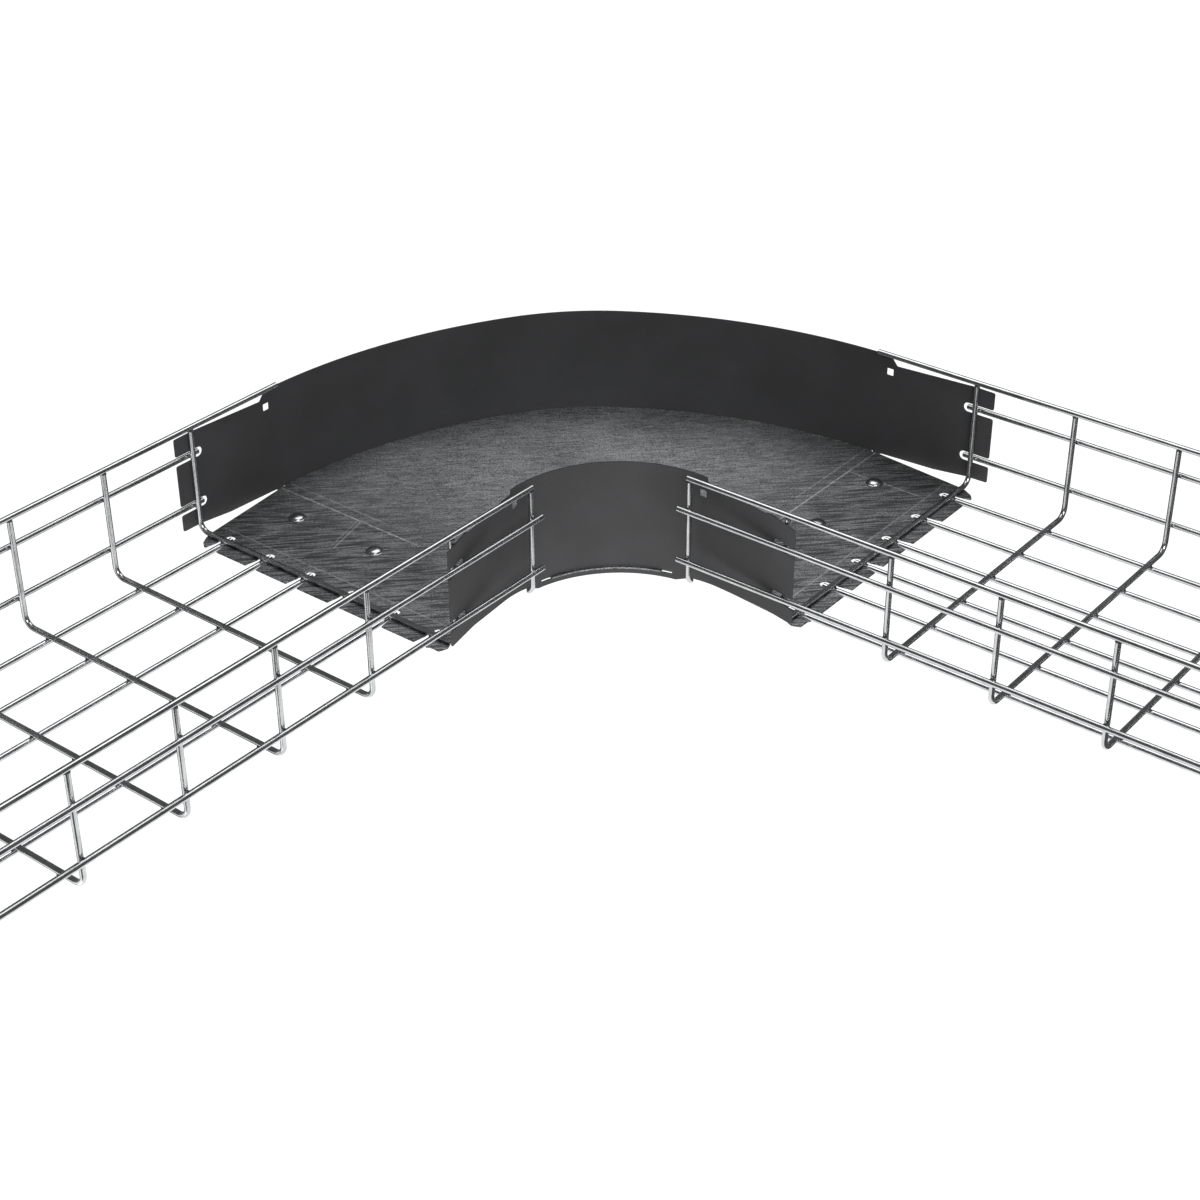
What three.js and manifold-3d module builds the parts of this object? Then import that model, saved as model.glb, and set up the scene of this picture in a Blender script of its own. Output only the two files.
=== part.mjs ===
// A 90 degree sweep in a welded-wire cable tray.
//
// Two straight runs of wire tray meet at a right angle. A flat base plate fills the corner, and two
// upright sheet panels, one on the outside of the bend and one on the inside, carry the side walls
// round it. Everything is in millimetres, with +Z up.
//
// The right run goes along +X and the left run along -Y. A point on the right run is given as
// (along, across): "along" is X, measured from the bend centre, and "across" is Y, the distance out
// from the bend centre. The left run is the mirror image of the right one in the line y = -x.

import * as THREE from "three";
import { mergeVertices } from "three/addons/utils/BufferGeometryUtils.js";
import Module from "manifold-3d";

// ---------------------------------------------------------------- driving dimensions

const WIRE = 5; // diameter of every wire
const GAP = 0.3; // space left between pieces that touch
const PLAY = 0.2; // more room where a sheet edge passes another piece
const TRAY_WIDTH = 300; // between the wires of the two side walls
const TOP_HEIGHT = 104; // floor cross wires to top wire, centre to centre
const BEND_INSIDE = 95; // bend centre to the uprights of the inside wall
const CROSS_PITCH = 100; // from one cross wire to the next
const CROSS_WIRES = 6; // whole cross wires in each run
const FLOOR_WIRES = 6; // wires along the floor of each run
const LOW_HEIGHT = TOP_HEIGHT * 0.24; // lowest side wire above the cross wires
const MID_HEIGHT = TOP_HEIGHT * 0.72; // middle side wire above the cross wires
const WIRE_BEND = 10; // centre-line radius of a cross wire's two corners
const STUB = 10.5; // wire left standing past the last weld where a run was cut
const SIDE_STUB = 8.5; // inside side wires past the cut upright
const TOP_STUB = 6; // outside top wire past the end of the bend

const PLATE = 1.5; // thickness of the base plate
const PANEL = 1.2; // thickness of the two upright panels
const TONGUE = 1.9; // how far the plate's edge stands out of a panel's slit
const PLATE_SLOT = 9.4; // width of the plate's slots, one for each floor wire
const SLOT_MOUTH = 12; // length over which a slot opens out
const SLOT_FLARE = 2.2; // how far each side of its mouth opens
const WALL_SLOT = 9.2; // width of the panels' slots, one for each side wire
const PLATE_REACH = 13; // base plate past the first cross wire
const OUTER_REACH = 17; // outside panel past the same wire
const INNER_REACH = 12; // inside panel past the same wire
const PANEL_DROP = 2; // panels' lower edge, below the floor wires' underside
const PANEL_LOWER = 2.3; // panels' top edge, below the centre line of the top wires
const PANEL_HOLE = 7; // square holes near the ends of the panels
const OUTER_HOLE = [6, 19]; // outside panel's hole: along the run, and below the top wire
const INNER_HOLE = [4, 19]; // the same for the inside panel
const OUTER_SLOT_BACK = 14; // outside panel's slots reach this far back from the first cross wire
const SLOT_CLEAR = 1.5; // room past a side wire's end in an inside panel's slot
const SLOT_END_CLEAR = 3; // room past a floor wire's end in a plate slot
const EDGE_BACK = 12; // the plate's inner edge, back from the flat ends of the inside panel
const TONGUE_BACK = 9; // the outer tongue stops this far inside the end of the bend
// the plate's outer corner: past the first cross wire, and in from the outside uprights
const OUTER_CORNER = [[-5, 6.8], [3, 9], [11, 13.5], [15, 18.5]];
// the plate's inner corner: past the first cross wire, and out from the inside uprights
const INNER_CORNER = [[11, 18], [11, 8], [5, 4.7]];
const PANEL_LINE = 0.6; // play between the outside uprights and the panel

const SWEEP_OFFSET = 15; // inside panel's curve, beyond the line of the uprights
const CUT_TURN = 62; // degrees of its bottom corner left on a cut cross wire
const TONGUE_START = 108.5; // where the inner tongue starts, in degrees seen from the bend centre
const SHOULDER = 9; // degrees over which the plate's edge lies close behind the panel before that
const SLIT_LEAD = 5; // degrees by which the slit starts before the tongue
const FLANK_RATIO = 1.19; // outside panel's two gentle arcs, as a share of its distance out
const CROWN_RATIO = 0.62; // the tighter arc between them, as a share of the same
const CROWN_HALF_TURN = 12; // half the angle turned by the tighter arc, in degrees

const BOLT = 6; // thread diameter
const BOLT_HEAD = 16;
const BOLT_DOME = 3.6;
const BOLT_RIM = 0.5; // straight edge of the head, below its dome
const BOLT_CHAMFER = 0.6; // at the tip of the shank
const BOLT_BELOW = 10; // shank showing below the plate
const NUT_FLATS = 10;
const NUT_HEIGHT = 6;
const NUT_FLANGE = 14;
const FLANGE = 1.4; // thickness of the nut's flange
const BOLT_ALONG = 28.5; // from the end of the bend towards the first cross wire
const BOLT_FROM_WALL = 49.5; // outer bolt, in from the outside uprights
const BOLT_SPACING = 96;

const ARC_STEP = 4; // degrees turned by one facet of a curved sheet

// ---------------------------------------------------------------- levels and lines that follow

const LAY = WIRE + GAP; // centre to centre of two crossing wires
const INNER = BEND_INSIDE; // centre line of the inside uprights
const OUTER = INNER + TRAY_WIDTH + WIRE; // centre line of the outside uprights
const FIRST = CROSS_PITCH; // first whole cross wire, from the end of the bend
const LAST = FIRST + (CROSS_WIRES - 1) * CROSS_PITCH;

const floorZ = WIRE / 2;
const crossZ = floorZ + LAY;
const lowZ = crossZ + LOW_HEIGHT;
const midZ = crossZ + MID_HEIGHT;
const topZ = crossZ + TOP_HEIGHT;
const plateTop = crossZ - WIRE / 2 - GAP;
const plateBottom = plateTop - PLATE;
const panelBottom = -PANEL_DROP;
const panelTop = topZ - PANEL_LOWER;
const slitBottom = plateBottom - GAP - PLAY;
const slitTop = plateTop + GAP + PLAY;
const overCross = crossZ + WIRE / 2 + GAP + PLAY; // lowest a panel may reach above a cross wire

const floorPitch = TRAY_WIDTH / FLOOR_WIRES;
const floorLines = [];
for (let i = 0; i < FLOOR_WIRES; i += 1) {
  floorLines.push((INNER + OUTER) / 2 + (i - (FLOOR_WIRES - 1) / 2) * floorPitch);
}

const radians = THREE.MathUtils.degToRad;

// ---------------------------------------------------------------- solids and booleans

const wasm = await Module();
wasm.setup();

// Reflecting a geometry turns its faces inside out, so two corners of every triangle change places.
function mirrorToLeft(geometry) {
  const flat = geometry.index ? geometry.toNonIndexed() : geometry.clone();
  flat.deleteAttribute("normal");
  flat.deleteAttribute("uv");
  const from = flat.getAttribute("position");
  const to = new Float32Array(from.count * 3);
  for (let corner = 0; corner < from.count; corner += 1) {
    const inTriangle = corner % 3;
    const source = corner - inTriangle + (3 - inTriangle) % 3;
    to[corner * 3] = -from.getY(source);
    to[corner * 3 + 1] = -from.getX(source);
    to[corner * 3 + 2] = from.getZ(source);
  }
  const mirrored = new THREE.BufferGeometry();
  mirrored.setAttribute("position", new THREE.BufferAttribute(to, 3));
  mirrored.computeVertexNormals();
  return mirrored;
}

function toSolid(geometry) {
  const bare = geometry.clone();
  bare.deleteAttribute("normal");
  bare.deleteAttribute("uv");
  const merged = mergeVertices(bare, 1e-4);
  return new wasm.Manifold(new wasm.Mesh({
    numProp: 3,
    vertProperties: new Float32Array(merged.getAttribute("position").array),
    triVerts: new Uint32Array(merged.getIndex().array),
  }));
}

function toGeometry(solid) {
  const mesh = solid.getMesh();
  const geometry = new THREE.BufferGeometry();
  geometry.setAttribute("position", new THREE.BufferAttribute(mesh.vertProperties, 3));
  geometry.setIndex(new THREE.BufferAttribute(mesh.triVerts, 1));
  const faceted = geometry.toNonIndexed();
  faceted.computeVertexNormals();
  return faceted;
}

function cut(body, cutters) {
  let solid = toSolid(body);
  for (const cutter of cutters) {
    solid = solid.subtract(toSolid(cutter));
  }
  return toGeometry(solid);
}

function shapeOf(points) {
  return new THREE.Shape(points.map(([x, y]) => new THREE.Vector2(x, y)));
}

// A plan outline raised from one level to another.
function raise(outline, bottom, top) {
  const geometry = new THREE.ExtrudeGeometry(shapeOf(outline), {
    depth: top - bottom,
    bevelEnabled: false,
  });
  geometry.translate(0, 0, bottom);
  return geometry;
}

// An outline drawn in side view, (along, height), driven through a wall from one distance out to
// another.
function driveThrough(outline, near, far) {
  const geometry = new THREE.ExtrudeGeometry(shapeOf(outline), {
    depth: far - near,
    bevelEnabled: false,
  });
  geometry.rotateX(Math.PI / 2);
  geometry.translate(0, far, 0);
  return geometry;
}

function bothSides(cutters) {
  return [...cutters, ...cutters.map(mirrorToLeft)];
}

// ---------------------------------------------------------------- wires

// A route whose stations are exactly the points it is given, so that a bend gets close stations and
// a straight none between its ends.
class Route extends THREE.Curve {
  constructor(points, headings) {
    super();
    this.points = points;
    this.headings = headings;
  }

  station(u) {
    return Math.round(u * (this.points.length - 1));
  }

  getPoint(u) {
    return this.points[this.station(u)].clone();
  }

  getPointAt(u) {
    return this.getPoint(u);
  }

  getTangentAt(u) {
    return this.headings[this.station(u)].clone();
  }
}

function wireSection() {
  const section = new THREE.Shape();
  section.absarc(0, 0, WIRE / 2, 0, 2 * Math.PI);
  return section;
}

// A straight wire on the right run, from one place along it to another.
function straightWire(across, height, from, to) {
  const geometry = new THREE.ExtrudeGeometry(wireSection(), {
    depth: to - from,
    curveSegments: 6,
    bevelEnabled: false,
  });
  geometry.rotateZ(Math.PI / 12);
  geometry.rotateY(Math.PI / 2);
  geometry.translate(from, across, height);
  return geometry;
}

// One corner of a cross wire: an eighth-turn station every 22.5 degrees about its own centre.
function corner(route, along, across, height, startAngle, turn) {
  const steps = 4;
  for (let i = 0; i <= steps; i += 1) {
    const angle = radians(startAngle + (turn * i) / steps);
    route.points.push(new THREE.Vector3(
      along,
      across + WIRE_BEND * Math.cos(angle),
      height + WIRE_BEND * Math.sin(angle),
    ));
    const forward = Math.sign(turn);
    route.headings.push(new THREE.Vector3(
      0,
      -Math.sin(angle) * forward,
      Math.cos(angle) * forward,
    ));
  }
}

function alongRoute(route) {
  return new THREE.ExtrudeGeometry(wireSection(), {
    steps: route.points.length - 1,
    curveSegments: 6,
    bevelEnabled: false,
    extrudePath: new Route(route.points, route.headings),
  });
}

const uprightTop = topZ - WIRE / 2 - GAP;
const down = new THREE.Vector3(0, 0, -1);
const up = new THREE.Vector3(0, 0, 1);

// A whole cross wire: down the inside wall, across the floor, up the outside wall.
function crossWire(along) {
  const route = { points: [], headings: [] };
  route.points.push(new THREE.Vector3(along, INNER, uprightTop));
  route.headings.push(down);
  corner(route, along, INNER + WIRE_BEND, crossZ + WIRE_BEND, 180, 90);
  corner(route, along, OUTER - WIRE_BEND, crossZ + WIRE_BEND, 270, 90);
  route.points.push(new THREE.Vector3(along, OUTER, uprightTop));
  route.headings.push(up);
  return alongRoute(route);
}

// What is left of a cross wire whose floor was cut away: an upright and part of its bottom corner.
function cutCrossWire(along) {
  const route = { points: [], headings: [] };
  route.points.push(new THREE.Vector3(along, INNER, uprightTop));
  route.headings.push(down);
  corner(route, along, INNER + WIRE_BEND, crossZ + WIRE_BEND, 180, CUT_TURN);
  return alongRoute(route);
}

// ---------------------------------------------------------------- the two curved panels in plan

// Points of an arc, its angles in degrees.
function arc(centre, radius, fromAngle, toAngle) {
  const steps = Math.max(1, Math.ceil(Math.abs(toAngle - fromAngle) / ARC_STEP));
  const points = [];
  for (let i = 0; i <= steps; i += 1) {
    const angle = radians(fromAngle + ((toAngle - fromAngle) * i) / steps);
    points.push([centre[0] + radius * Math.cos(angle), centre[1] + radius * Math.sin(angle)]);
  }
  return points;
}

// The other half of a line that is symmetric about y = -x.
function mirroredBack(half) {
  return half.map(([x, y]) => [-y, -x]).reverse();
}

// The line moved sideways by a distance, to its left as it is walked.
function offsetLine(line, distance) {
  return line.map((point, i) => {
    const before = line[Math.max(i - 1, 0)];
    const after = line[Math.min(i + 1, line.length - 1)];
    const into = new THREE.Vector2(point[0] - before[0], point[1] - before[1]).normalize();
    const out = new THREE.Vector2(after[0] - point[0], after[1] - point[1]).normalize();
    const heading = into.clone().add(out).normalize();
    const straight = into.lengthSq() > 0 && out.lengthSq() > 0;
    const stretch = straight ? 1 / heading.dot(out) : 1;
    return [
      point[0] - heading.y * distance * stretch,
      point[1] + heading.x * distance * stretch,
    ];
  });
}

function sheetAlong(line, bottom, top) {
  const left = offsetLine(line, PANEL / 2);
  const right = offsetLine(line, -PANEL / 2);
  return raise([...right, ...left.reverse()], bottom, top);
}

// Outside panel: flat at its ends, just outside the uprights, then a gentle arc, a tighter arc at
// the crown of the bend, and a gentle arc again.
const outerLine = OUTER + WIRE / 2 + GAP + PANEL / 2 + PANEL_LINE;
const flankRadius = outerLine * FLANK_RATIO;
const crownRadius = outerLine * CROWN_RATIO;
const flankTurn = 45 - CROWN_HALF_TURN;
const radiusStep = flankRadius - crownRadius;
const flankStart = radiusStep * Math.sin(radians(flankTurn))
  - (outerLine - flankRadius + radiusStep * Math.cos(radians(flankTurn)));
const flankCentre = [flankStart, outerLine - flankRadius];
const crownCentre = [
  flankStart - radiusStep * Math.sin(radians(flankTurn)),
  flankCentre[1] + radiusStep * Math.cos(radians(flankTurn)),
];

// Half of the outside line, from a place along the flat end to the middle of the bend, moved out
// from the panel's own line by a distance.
function outerHalf(beyond, from) {
  const points = [[from, outerLine + beyond]];
  points.push(...arc(flankCentre, flankRadius + beyond, 90, 90 + flankTurn));
  points.push(...arc(crownCentre, crownRadius + beyond, 90 + flankTurn, 135).slice(1));
  return points;
}

// Inside panel: one arc round the bend centre, whose flat ends leave it as tangents. They are tilted
// so that each passes the first whole upright with its clearance.
const innerRadius = INNER + SWEEP_OFFSET;
const clearOfWire = WIRE / 2 + GAP + PANEL / 2;
const uprightReach = Math.hypot(FIRST, INNER);
const tilt = Math.asin((innerRadius + clearOfWire) / uprightReach) - Math.atan2(INNER, FIRST);
const flapNormal = [Math.sin(tilt), Math.cos(tilt)];

function flapAcross(along) {
  return (innerRadius - along * flapNormal[0]) / flapNormal[1];
}

function innerHalf(beyond, from) {
  const flapEnd = [
    from + beyond * flapNormal[0],
    flapAcross(from) + beyond * flapNormal[1],
  ];
  const tangentAt = 90 - THREE.MathUtils.radToDeg(tilt);
  return [flapEnd, ...arc([0, 0], innerRadius + beyond, tangentAt, 135)];
}

function wholeLine(half) {
  return [...half, ...mirroredBack(half).slice(1)];
}

// ---------------------------------------------------------------- base plate

const plateEnd = FIRST + PLATE_REACH;
const slotEnd = FIRST - STUB - SLOT_END_CLEAR;
const tongueEdge = PANEL / 2 + TONGUE;
const tuckedEdge = PANEL / 2 + GAP + PLAY;

function plateSlot(across) {
  const half = PLATE_SLOT / 2;
  const points = [
    [plateEnd, across + half + SLOT_FLARE],
    [plateEnd - SLOT_MOUTH, across + half],
  ];
  points.push(...arc([slotEnd + half, across], half, 90, 270));
  points.push([plateEnd - SLOT_MOUTH, across - half]);
  points.push([plateEnd, across - half - SLOT_FLARE]);
  return points;
}

// Half of the plate's outline, walked from the middle of the outer curve, round the end that the
// right run is bolted to, to the middle of the inner curve.
function plateHalf() {
  const outerTongue = outerHalf(tongueEdge, 0).filter(([x]) => x < -TONGUE_BACK).reverse();
  const points = [...outerTongue];
  const tuckedLine = outerLine - tuckedEdge - 2 * PLAY;
  points.push([-TONGUE_BACK, outerTongue.at(-1)[1] + PLAY]);
  points.push([-TONGUE_BACK, tuckedLine]);
  points.push([0, tuckedLine]);
  // the outer corner, clear of the uprights' bottom corners
  points.push(...OUTER_CORNER.map(([along, inward]) => [FIRST + along, OUTER - inward]));
  for (const across of [...floorLines].reverse()) {
    points.push(...plateSlot(across));
  }
  points.push(...INNER_CORNER.map(([along, outward]) => [FIRST + along, INNER + outward]));
  // the inner edge lies back from the panel's flat end, and closes in on it before the tongue
  points.push([FIRST - 6, flapAcross(FIRST - 6) + EDGE_BACK]);
  points.push([-10, innerRadius + EDGE_BACK / 2]);
  points.push(...arc([0, 0], innerRadius + tuckedEdge, TONGUE_START - SHOULDER, TONGUE_START));
  points.push(...arc([0, 0], innerRadius - tongueEdge, TONGUE_START, 135));
  return points;
}

function basePlate() {
  const half = plateHalf();
  const outline = [...half, ...mirroredBack(half).slice(1, -1)];
  const side = BOLT + 2 * GAP;
  const holes = [];
  for (const across of boltLines()) {
    const hole = new THREE.BoxGeometry(side, side, 3 * PLATE);
    hole.translate(BOLT_ALONG, across, (plateTop + plateBottom) / 2);
    holes.push(hole);
  }
  return cut(raise(outline, plateBottom, plateTop), bothSides(holes));
}

function boltLines() {
  const outerBolt = OUTER - BOLT_FROM_WALL;
  return [outerBolt, outerBolt - BOLT_SPACING];
}

// ---------------------------------------------------------------- cuts in the panels

// An open slot from the panel's end to a round inner end.
function wallSlot(height, from, to) {
  const half = WALL_SLOT / 2;
  return [
    [to, height - half],
    [to, height + half],
    ...arc([from + half, height], half, 90, 270),
  ];
}

function squareHole(along, height) {
  const half = PANEL_HOLE / 2;
  return [
    [along - half, height - half],
    [along + half, height - half],
    [along + half, height + half],
    [along - half, height + half],
  ];
}

const past = FIRST + 40; // beyond every panel's end
const above = topZ + 20; // above every panel
const below = panelBottom - 20; // below every panel

// A ring-shaped slit between two angles seen from the bend centre.
function slit(innerR, outerR, fromAngle, toAngle) {
  const outline = [
    ...arc([0, 0], innerR, fromAngle, toAngle).reverse(),
    ...arc([0, 0], outerR, fromAngle, toAngle),
  ];
  return raise(outline, slitBottom, slitTop);
}

function outerPanel() {
  const near = outerLine - 20;
  const far = outerLine + 20;
  const side = [
    wallSlot(midZ, FIRST - OUTER_SLOT_BACK, past),
    wallSlot(lowZ, FIRST - OUTER_SLOT_BACK, past),
    squareHole(OUTER_HOLE[0], topZ - OUTER_HOLE[1]),
    // the top edge steps down to pass under the top wire
    [
      [4, above],
      [8, panelTop - 3],
      [13, topZ - 11.3],
      [FIRST - 4, topZ - 6.8],
      [past, topZ - 7.6],
      [past, above],
    ],
    // the lower edge climbs from the plate to clear the floor wires
    [
      [-6, below],
      [-6, panelBottom],
      [2, plateTop],
      [FIRST * 0.6, (plateTop + overCross) / 2 - 0.3],
      [FIRST - 5, overCross + 1],
      [past, overCross + 2],
      [past, below],
    ],
  ];
  const cutters = bothSides(side.map((outline) => driveThrough(outline, near, far)));
  const reach = outerLine * 1.1;
  cutters.push(slit(outerLine - 30, reach, 91, 179));
  const line = wholeLine(outerHalf(0, FIRST + OUTER_REACH));
  return cut(sheetAlong(line, panelBottom, panelTop), cutters);
}

function innerPanel() {
  const near = INNER - 25;
  const far = INNER + 30;
  const side = [
    wallSlot(midZ, FIRST - STUB - SLOT_CLEAR, past),
    wallSlot(lowZ, FIRST - STUB - SLOT_CLEAR, past),
    squareHole(INNER_HOLE[0], topZ - INNER_HOLE[1]),
    // the top edge is let down a little between the two uprights, and slopes off past them
    [
      [8, above],
      [9, topZ - 7],
      [FIRST - 24, topZ - 7],
      [FIRST - 16, topZ - 4.5],
      [past, topZ - 9.5],
      [past, above],
    ],
    // the lower edge climbs past the cut cross wire, and runs level past the first whole one
    [
      [-22, below],
      [-22, panelBottom],
      [-7, plateTop - 1],
      [FIRST - 24, overCross + 2.7],
      [past, overCross + 2.7],
      [past, below],
    ],
  ];
  const cutters = bothSides(side.map((outline) => driveThrough(outline, near, far)));
  const ends = TONGUE_START - SLIT_LEAD;
  cutters.push(slit(innerRadius - 25, innerRadius + 25, ends, 270 - ends));
  const line = wholeLine(innerHalf(0, FIRST + INNER_REACH));
  return cut(sheetAlong(line, panelBottom, panelTop), cutters);
}

// ---------------------------------------------------------------- bolts and nuts

// A domed carriage bolt: square neck in the plate's square hole, shank below.
function carriageBolt(across) {
  const head = plateTop + GAP;
  const tip = plateBottom - BOLT_BELOW;
  const profile = [new THREE.Vector2(0, tip), new THREE.Vector2(BOLT / 2 - BOLT_CHAMFER, tip)];
  profile.push(new THREE.Vector2(BOLT / 2, tip + BOLT_CHAMFER));
  profile.push(new THREE.Vector2(BOLT / 2, head));
  profile.push(new THREE.Vector2(BOLT_HEAD / 2, head));
  const steps = 5;
  for (let i = 0; i <= steps; i += 1) {
    const angle = radians((90 * i) / steps);
    profile.push(new THREE.Vector2(
      i === steps ? 0 : (BOLT_HEAD / 2) * Math.cos(angle),
      head + BOLT_RIM + (BOLT_DOME - BOLT_RIM) * Math.sin(angle),
    ));
  }
  const turned = new THREE.LatheGeometry(profile, 24);
  turned.rotateX(Math.PI / 2);
  const neck = new THREE.BoxGeometry(BOLT, BOLT, PLATE + GAP);
  neck.translate(0, 0, head - (PLATE + GAP) / 2 + 0.05);
  const bolt = toGeometry(toSolid(turned).add(toSolid(neck)));
  bolt.translate(BOLT_ALONG, across, 0);
  return bolt;
}

// A hexagon nut with a round flange that bears on the underside of the plate.
function flangeNut(across) {
  const face = plateBottom - GAP;
  const bore = BOLT / 2 + GAP;
  const hexagon = polygon(NUT_FLATS / Math.sqrt(3), 6);
  hexagon.holes.push(circle(bore));
  const body = new THREE.ExtrudeGeometry(hexagon, {
    depth: NUT_HEIGHT - FLANGE / 2,
    curveSegments: 12,
    bevelEnabled: false,
  });
  body.translate(0, 0, face - NUT_HEIGHT);
  const collar = circle(NUT_FLANGE / 2);
  collar.holes.push(circle(bore));
  const flange = new THREE.ExtrudeGeometry(collar, {
    depth: FLANGE,
    curveSegments: 12,
    bevelEnabled: false,
  });
  flange.translate(0, 0, face - FLANGE);
  const nut = toGeometry(toSolid(body).add(toSolid(flange)));
  nut.translate(BOLT_ALONG, across, 0);
  return nut;
}

function circle(radius) {
  const shape = new THREE.Shape();
  shape.absarc(0, 0, radius, 0, 2 * Math.PI);
  return shape;
}

function polygon(radius, sides) {
  const points = [];
  for (let i = 0; i < sides; i += 1) {
    const angle = radians((360 * i) / sides);
    points.push([radius * Math.cos(angle), radius * Math.sin(angle)]);
  }
  return shapeOf(points);
}

// ---------------------------------------------------------------- materials

function finish(colour, roughness, metalness) {
  return new THREE.MeshStandardMaterial({ color: colour, roughness, metalness });
}

const finishes = {
  wire: () => finish("#b9bbbc", 0.38, 0.9),
  plate: () => finish("#6a6b6c", 0.5, 0.85),
  panel: () => finish("#323334", 0.42, 0.2),
  bolt: () => finish("#c4c6c7", 0.28, 0.95),
};

const group = new THREE.Group();

function add(name, geometry, material) {
  const mesh = new THREE.Mesh(geometry, material);
  mesh.name = name;
  group.add(mesh);
}

// The same piece on the right run and, mirrored, on the left one.
function addBoth(name, geometry, material) {
  add(`right_${name}`, geometry, finishes[material]());
  add(`left_${name}`, mirrorToLeft(geometry), finishes[material]());
}

// ---------------------------------------------------------------- assembly

add("base_plate", basePlate(), finishes.plate());
add("outer_panel", outerPanel(), finishes.panel());
add("inner_panel", innerPanel(), finishes.panel());

boltLines().forEach((across, i) => {
  addBoth(`carriage_bolt_${i + 1}`, carriageBolt(across), "bolt");
  addBoth(`flange_nut_${i + 1}`, flangeNut(across), "bolt");
});

const runEnd = LAST + STUB;
floorLines.forEach((across, i) => {
  addBoth(`floor_wire_${i + 1}`, straightWire(across, floorZ, FIRST - STUB, runEnd), "wire");
});

const wallWires = [
  ["outer_low_wire", OUTER + LAY, lowZ, FIRST - STUB],
  ["outer_mid_wire", OUTER + LAY, midZ, FIRST - STUB],
  ["outer_top_wire", OUTER, topZ, -TOP_STUB],
  ["inner_low_wire", INNER - LAY, lowZ, -SIDE_STUB],
  ["inner_mid_wire", INNER - LAY, midZ, -SIDE_STUB],
  ["inner_top_wire", INNER, topZ, -WIRE / 2],
];
for (const [name, across, height, from] of wallWires) {
  addBoth(name, straightWire(across, height, from, runEnd), "wire");
}

for (let i = 0; i < CROSS_WIRES; i += 1) {
  addBoth(`cross_wire_${i + 1}`, crossWire(FIRST + i * CROSS_PITCH), "wire");
}
addBoth("cut_cross_wire", cutCrossWire(0), "wire");

// The origin is the middle of the underside.
const box = new THREE.Box3().setFromObject(group);
const middle = box.getCenter(new THREE.Vector3());
for (const mesh of group.children) {
  mesh.position.set(-middle.x, -middle.y, -box.min.z);
}

export default group;
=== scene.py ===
# %% [markdown]
# # A sweep bend in welded-wire cable tray
#
# Two straight runs of wire tray meet at a right angle. A flat galvanised plate closes the corner,
# and two black sheet panels carry the side walls round it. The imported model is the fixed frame:
# every piece below is made finer than its solid in that frame, sits in the same place, and hides it.
# Blender works in metres, so sizes given in millimetres are multiplied by MM.

# %% Load the fixed frame
import math

import bmesh
import bpy
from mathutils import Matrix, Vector


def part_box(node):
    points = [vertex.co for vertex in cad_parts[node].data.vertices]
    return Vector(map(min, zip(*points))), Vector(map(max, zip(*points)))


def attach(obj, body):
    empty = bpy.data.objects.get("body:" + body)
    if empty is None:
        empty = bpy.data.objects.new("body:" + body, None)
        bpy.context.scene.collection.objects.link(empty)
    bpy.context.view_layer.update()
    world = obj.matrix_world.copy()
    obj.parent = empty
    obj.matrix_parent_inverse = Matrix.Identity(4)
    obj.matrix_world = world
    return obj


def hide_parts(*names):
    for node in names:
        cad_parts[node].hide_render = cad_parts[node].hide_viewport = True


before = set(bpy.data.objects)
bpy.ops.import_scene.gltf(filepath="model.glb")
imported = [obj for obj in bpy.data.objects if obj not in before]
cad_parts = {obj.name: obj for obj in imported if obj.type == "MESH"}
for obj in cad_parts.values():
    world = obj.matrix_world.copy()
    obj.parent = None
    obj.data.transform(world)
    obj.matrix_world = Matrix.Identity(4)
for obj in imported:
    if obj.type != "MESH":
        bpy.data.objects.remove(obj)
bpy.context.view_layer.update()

MM = 0.001

# %% [markdown]
# ## Where things are
#
# A node's box gives its place. The wires are straight, so the middle of a wire's box is its centre
# line. The bend is drawn round one point, the bend centre, which lies level with the two cut
# uprights. On the right run "along" is measured from it in +X and "across" in +Y; the left run is
# the right one reflected in the line y = -x through that point. PLAY is the gap that touching parts
# keep.

# %% Read the places from the frame
def middle(node):
    low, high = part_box(node)
    return (low + high) / 2


bend = Vector((middle("right_cut_cross_wire").x, middle("left_cut_cross_wire").y, 0))
inner_uprights = middle("right_inner_top_wire").y - bend.y
outer_uprights = middle("right_outer_top_wire").y - bend.y
first_cross = middle("right_cross_wire_1").x - bend.x
low_wire = middle("right_outer_low_wire").z
mid_wire = middle("right_outer_mid_wire").z
top_wire = middle("right_outer_top_wire").z
floor_lines = [middle(f"right_floor_wire_{i}").y - bend.y for i in range(1, 7)]
plate_low, plate_high = (corner.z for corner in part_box("base_plate"))
panel_low, panel_high = (corner.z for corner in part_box("outer_panel"))
WIRE = 5 * MM
PLAY = 0.3 * MM
cross_floor = plate_high + PLAY + WIRE / 2
over_cross = cross_floor + WIRE / 2 + 0.5 * MM
print("uprights at", round(inner_uprights / MM, 1), "and", round(outer_uprights / MM, 1), "mm")


def mirrored(point):
    """The same place on the left run, in bend coordinates."""
    return (-point[1], -point[0])


# %% [markdown]
# ## Colours and nodes
#
# Colours are written as the hex values a paint chart gives, which are sRGB. The shader works in
# linear light, so one function turns them. One more function adds a node with its settings and its
# links, and every finish is made with it.

# %% Colour and node helpers
def linear(hex_colour):
    channels = [int(hex_colour[i:i + 2], 16) / 255 for i in (1, 3, 5)]
    return (*[c / 12.92 if c <= 0.04045 else ((c + 0.055) / 1.055) ** 2.4 for c in channels], 1)


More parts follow.
